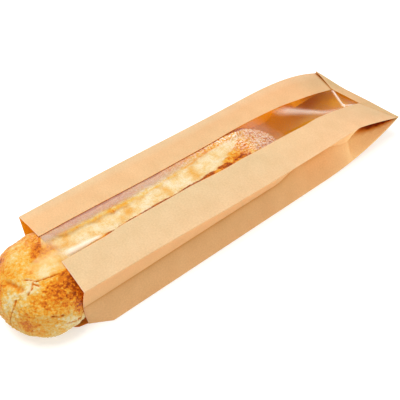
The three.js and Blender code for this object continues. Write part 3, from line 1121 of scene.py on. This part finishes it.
def loafAngles():  # even steps round its section, longer ones on the flat underside
    turns = 4000
    fine = [2 * math.pi * k / turns for k in range(turns + 1)]
    section = [loafPoint(0.150, angle) for angle in fine]
    walked = [0.0]
    for a, b in zip(section, section[1:]):
        walked.append(walked[-1] + (b - a).length * (1 if a.z > 0.008 else 0.4))
    angles, k = [], 0
    for column in range(loaf["around"]):
        while walked[k] < walked[-1] * column / loaf["around"]:
            k += 1
        angles.append(fine[k])
    return angles


def roundedLoaf():
    rings, angles = loafRings(), loafAngles()
    bm = bmesh.new()
    bmesh.ops.create_uvsphere(bm, u_segments=len(angles), v_segments=len(rings) + 1, radius=1)
    for v in bm.verts:
        flat = math.hypot(v.co.x, v.co.y)
        ring = round(math.atan2(flat, v.co.z) / math.pi * (len(rings) + 1)) - 1
        column = round(math.atan2(v.co.y, v.co.x) / (2 * math.pi) * len(angles)) % len(angles)
        if 0 <= ring < len(rings):
            v.co = loafPoint(rings[ring], angles[column])
        else:
            v.co = loafPoint(0 if ring < 0 else loaf["length"], 0)
    bmesh.ops.recalc_face_normals(bm, faces=bm.faces)
    bm.normal_update()
    return bm


def gussetY(x, z, side):  # where the gusset's paper stands at this height
    folds = foldPoints(max(x, 0))
    edge, crease, corner = folds[1:4] if side < 0 else folds[6:3:-1]
    if z > crease[1]:
        return mix(crease[0], edge[0], clamp((z - crease[1]) / (edge[1] - crease[1])))
    return mix(corner[0], crease[0], clamp((z - corner[1]) / (crease[1] - corner[1])))


def keptInBag(p):  # a point of the crust, held back by the film and by the gussets' folds
    under = filmZ(max(p.x, 0), p.y) - loaf["filmGap"]
    p.z = mix(p.z, min(p.z, under), smooth(-0.014, -0.001, p.x))
    if abs(p.y) > 0.025:
        near, far = gussetY(p.x, p.z, -1) + loaf["gussetGap"], gussetY(p.x, p.z, 1) - loaf["gussetGap"]
        p.y = mix(p.y, clamp(p.y, near, far), smooth(-0.009, -0.003, p.x))
    return p


# how the crust is baked, with painted light and shade in places: shares of its colour from 0, pale, to 1,
# dark

baking = {
    "everywhere": 0.50,
    "broadPatches": 0.22,
    "smallPatches": 0.14,
    "nearSideShade": 0.15,
    "lowPale": 0.30,
    "tail": 0.20,
    # painted shade in the hollows of the head
    "hollowShade": 40,  # for each metre that the crust of the head lies low
    # painted highlight on the small blisters and shade in their grooves, over the crust's own mottle
    "blisters": (0.14, 0.24),  # least and most
    "ear": (0.06, 0.15),  # inside the bag and on the head
    "besideEar": 0.26,
    # browned crust with painted shade under the near strip's edge
    "rim": 0.85,  # along the near edge of the cut
}


def worms(p):  # under 0 in the grooves, up to 1 on the small blisters between them
    return 2.4 * abs(waveAt(p, 0.0034, 8)) + 2.4 * abs(waveAt(p, 0.0019, 15)) - 0.90


def crustRelief(p):
    big = 0.0013 * waveAt(p, 0.030, 1) + 0.0010 * waveAt(p, 0.013, 2)
    small = 0.0005 * waveAt(p, 0.0060, 3) + 0.00035 * waveAt(p, 0.0025, 5)
    return big + small


def tailX(p):  # x, less on the near side, because the crust changes along a slant there
    return p.x + 0.6 * (p.y + 0.019)


def crustBake(p, normal, spot):
    head, tail, ear = spot["head"], spot["tail"], spot["ear"]
    bake = baking["everywhere"] + baking["broadPatches"] * waveAt(p, 0.020, 6)
    bake += baking["smallPatches"] * waveAt(p, 0.007, 7)
    # painted shade of the bag's edge, on the near side of the head towards the mouth
    nearSideShade = smooth(0.2, 0.8, -normal.y)
    bake += baking["nearSideShade"] * nearSideShade * smooth(-0.030, 0.0, p.x) * smooth(0.020, 0.034, p.z)
    bake -= baking["lowPale"] * (1 - smooth(0.008, 0.024, p.z)) * (1 - 0.3 * head)
    nearMouth = bell((p - Vector((-0.004, -0.044, 0.040))).length / 0.020)
    blisters = mix(*baking["blisters"], max(tail, nearMouth)) * spot["worm"]
    # painted shade in the head's hollows, and painted highlight and shade on the blisters
    bake += baking["tail"] * tail - baking["hollowShade"] * spot["lie"] * head - blisters
    if p.x < 0.030:
        bake += patchBake(p)
    bake += mix(*baking["ear"], head) * ear
    besideEar = hump(p.y - slashFarEdge(p.x), 0.004, 0.004)
    bake -= baking["besideEar"] * besideEar * smooth(0.010, 0.040, p.x) * spot["onTop"]
    # browned crust along the cut's near edge, with painted shade of the near strip
    rim = hump(p.y - slashNearEdge(p.x), -0.0012, 0.0024) * smooth(0.040, 0.060, p.x)
    rim *= 1 - 0.7 * smooth(0.190, 0.212, p.x)
    bake += baking["rim"] * rim * smooth(-0.6, 0.0, wave(p.x, p.y, 0, 0.012, 23))
    return clamp(bake)


def crustFlour(p, spot):  # on the tail, beside the ear and a little on the head
    fromCut = p.y - slashFarEdge(p.x) + 0.004 * smooth(0.080, 0.120, p.x)
    floury = 0.50 * smooth(0.003, 0.009, fromCut) * spot["onTop"] * (1 - spot["head"])
    floury += 0.10 * spot["head"] * smooth(0.004, 0.016, p.y) * spot["onTop"] * (1 - spot["ear"])
    return clamp(0.85 * smooth(0.210, 0.240, tailX(p)) + floury)


def crustAt(p, normal):  # how far the crust is raised at a point, and what it is like there
    onTop = smooth(0.25, 0.75, normal.z)
    head = 1 - smooth(-0.010, 0.010, p.x)
    tail = smooth(0.180, 0.215, tailX(p))
    golden = bell(math.hypot(p.x - 0.001, p.y - 0.001) / 0.008)  # a browned tongue of crust at the mouth
    cut = slashShare(p.x, p.y) * onTop * (1 - 0.6 * golden)
    ear = earBrown(p.x, p.y) * onTop
    blister = clamp(0.25 + 0.75 * smooth(-0.10, -0.045, -0.06 - p.y - 0.4 * p.z) + 0.5 * tail)
    worm = worms(p) * blister * (1 - cut)
    lie = crustRelief(p) * (1 - 0.45 * cut)
    relief = lie + (0.0004 * worm + slashRelief(p.x, p.y) * smooth(0.3, 0.8, normal.z))
    crackDepth, crackDark = 0.0, 0.0
    if p.x < 0.010:
        relief += 0.0009 * ear
        crackDepth, crackDark = crackAt(p, normal)
    spot = {"head": head, "tail": tail, "ear": ear, "onTop": onTop, "worm": worm, "lie": lie}
    return relief + crackDepth, {
        "cut": cut * (1 - 0.68 * head),
        "bake": crustBake(p, normal, spot),
        "flour": crustFlour(p, spot),
        "crack": crackDark,
        "blister": blister,
    }


def makeLoaf(material):
    bm = roundedLoaf()
    layers = {name: bm.verts.layers.float.new(name) for name in ("cut", "bake", "flour", "crack", "blister")}
    for v in bm.verts:
        raised, looks = crustAt(v.co.copy(), v.normal)
        v.co += v.normal * raised * smooth(loaf["clearance"], 0.008, v.co.z)
        if v.co.x > -0.016:
            v.co = keptInBag(v.co)
        v.co.z = max(v.co.z, loaf["clearance"])
        for name, value in looks.items():
            v[layers[name]] = value
    bmesh.ops.recalc_face_normals(bm, faces=bm.faces)
    return pieceFrom(bm, "breadLoaf", material, "loaf")


crustLook = {
    "baked": [  # from pale to dark
        (0.0, (211, 194, 148)),
        (0.25, (209, 171, 90)),
        (0.5, (212, 147, 38)),
        (0.75, (198, 104, 10)),
        (1.0, (138, 58, 8)),
    ],
    "opened": [  # the floor of the long cut
        (0.34, (222, 208, 176)),
        (0.50, (217, 192, 142)),
        (0.66, (212, 162, 84)),
    ],
    "flour": (236, 218, 196),
    "shallowCrack": (196, 112, 26),
    "deepCrack": (104, 42, 6),
    "mottle": 1.05,
    "fine": 0.85,
    "blisterHeight": 0.8,
    "bump": 0.7,
    "bumpHeight": 0.0008,
    "roughness": 0.55,
    "shine": 0.25,
}


def makeCrust():
    material, tree = newMaterial("breadCrust")
    place = addNode(tree, "TexCoord").outputs["Object"]
    mottle = noiseOn(tree, place, 300, 4, 0.6)
    fine = noiseOn(tree, place, 700, 3, 0.65)
    ridged = {"noise_type": "RIDGED_MULTIFRACTAL"}
    grooves = addNode(tree, "TexNoise", ridged, Vector=place, Scale=210, Detail=2).outputs[0]
    crack = attribute(tree, "crack")
    tone = attribute(tree, "bake")
    for pattern, amount in ((mottle, crustLook["mottle"]), (fine, crustLook["fine"])):
        spread = times(tree, maths(tree, "SUBTRACT", pattern, 0.5), amount)
        tone = maths(tree, "ADD", tone, spread)
    crust = ramp(tree, tone, colourStops(crustLook["baked"]))
    opened = ramp(tree, noiseOn(tree, place, 80, 4, 0.55), colourStops(crustLook["opened"]))
    pores = ramp(tree, fine, [(0.36, (0.88, 0.74, 0.54, 1)), (0.54, 1.0)])
    opened = blendColours(tree, 0.7, opened, pores, "MULTIPLY")
    skin = blendColours(tree, attribute(tree, "cut"), crust, opened)
    dust = ramp(tree, noiseOn(tree, place, 430, 3, 0.7), [(0.47, 0.0), (0.56, 1.0)])
    dusted = times(tree, dust, attribute(tree, "flour"))
    skin = blendColours(tree, dusted, skin, colour(*crustLook["flour"]))
    shallow = maths(tree, "MINIMUM", times(tree, crack, 2), 1)
    deep = maths(tree, "MAXIMUM", maths(tree, "MULTIPLY_ADD", crack, 2, -1), 0)
    skin = blendColours(tree, shallow, skin, colour(*crustLook["shallowCrack"]))
    skin = blendColours(tree, deep, skin, colour(*crustLook["deepCrack"]))
    blisters = times(tree, grooves, crustLook["blisterHeight"])
    blisters = times(tree, blisters, attribute(tree, "blister"))
    height = maths(tree, "ADD", mottle, times(tree, fine, 0.4))
    height = maths(tree, "ADD", height, blisters)
    relief = {"Strength": crustLook["bump"], "Distance": crustLook["bumpHeight"], "Height": height}
    bump = addNode(tree, "Bump", None, **relief).outputs[0]
    paint = {"Base_Color": skin, "Roughness": crustLook["roughness"], "Normal": bump}
    bread = addNode(tree, "BsdfPrincipled", None, **paint)
    shine = times(tree, maths(tree, "SUBTRACT", 1.0, crack), crustLook["shine"])
    tree.links.new(shine, bread.inputs["Specular IOR Level"])
    bread.inputs["Subsurface Weight"].default_value = 0.06
    bread.inputs["Subsurface Radius"].default_value = (0.004, 0.002, 0.001)
    bread.inputs["Subsurface Scale"].default_value = 0.5
    setSurface(tree, bread)
    return material


breadLoaf = makeLoaf(makeCrust())
print("loaf made,", len(breadLoaf.data.polygons), "faces")
